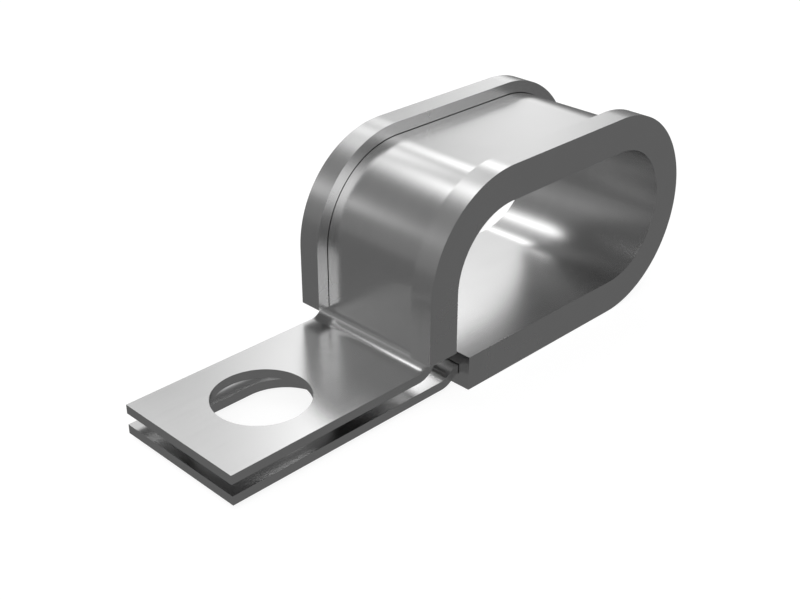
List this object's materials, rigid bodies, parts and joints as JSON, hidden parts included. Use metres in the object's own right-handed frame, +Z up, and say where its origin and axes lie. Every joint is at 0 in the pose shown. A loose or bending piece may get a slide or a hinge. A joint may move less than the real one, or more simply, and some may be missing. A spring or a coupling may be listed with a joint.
{
  "type": "cushioned p clip",
  "caption": "Flat-topped oval p clip for lines or cables: a folded metal band with two bolt tabs, its loop wrapped in a channel liner.",
  "frame": {"origin": "on the axis of the bolt hole, at the upper tab's top face, at mid-width", "axes": "+X from the tabs towards the loop, +Y across the band, +Z up from the tabs, along the bolt"},
  "size_m": [0.0644, 0.0188, 0.0232],
  "materials": {
    "band_metal": "satin, almost mirror-like",
    "liner_metal": "satin, almost mirror-like"
  },
  "bodies": {
    "root": {"band": "band_metal", "liner": "liner_metal"}
  },
  "joints": []
}
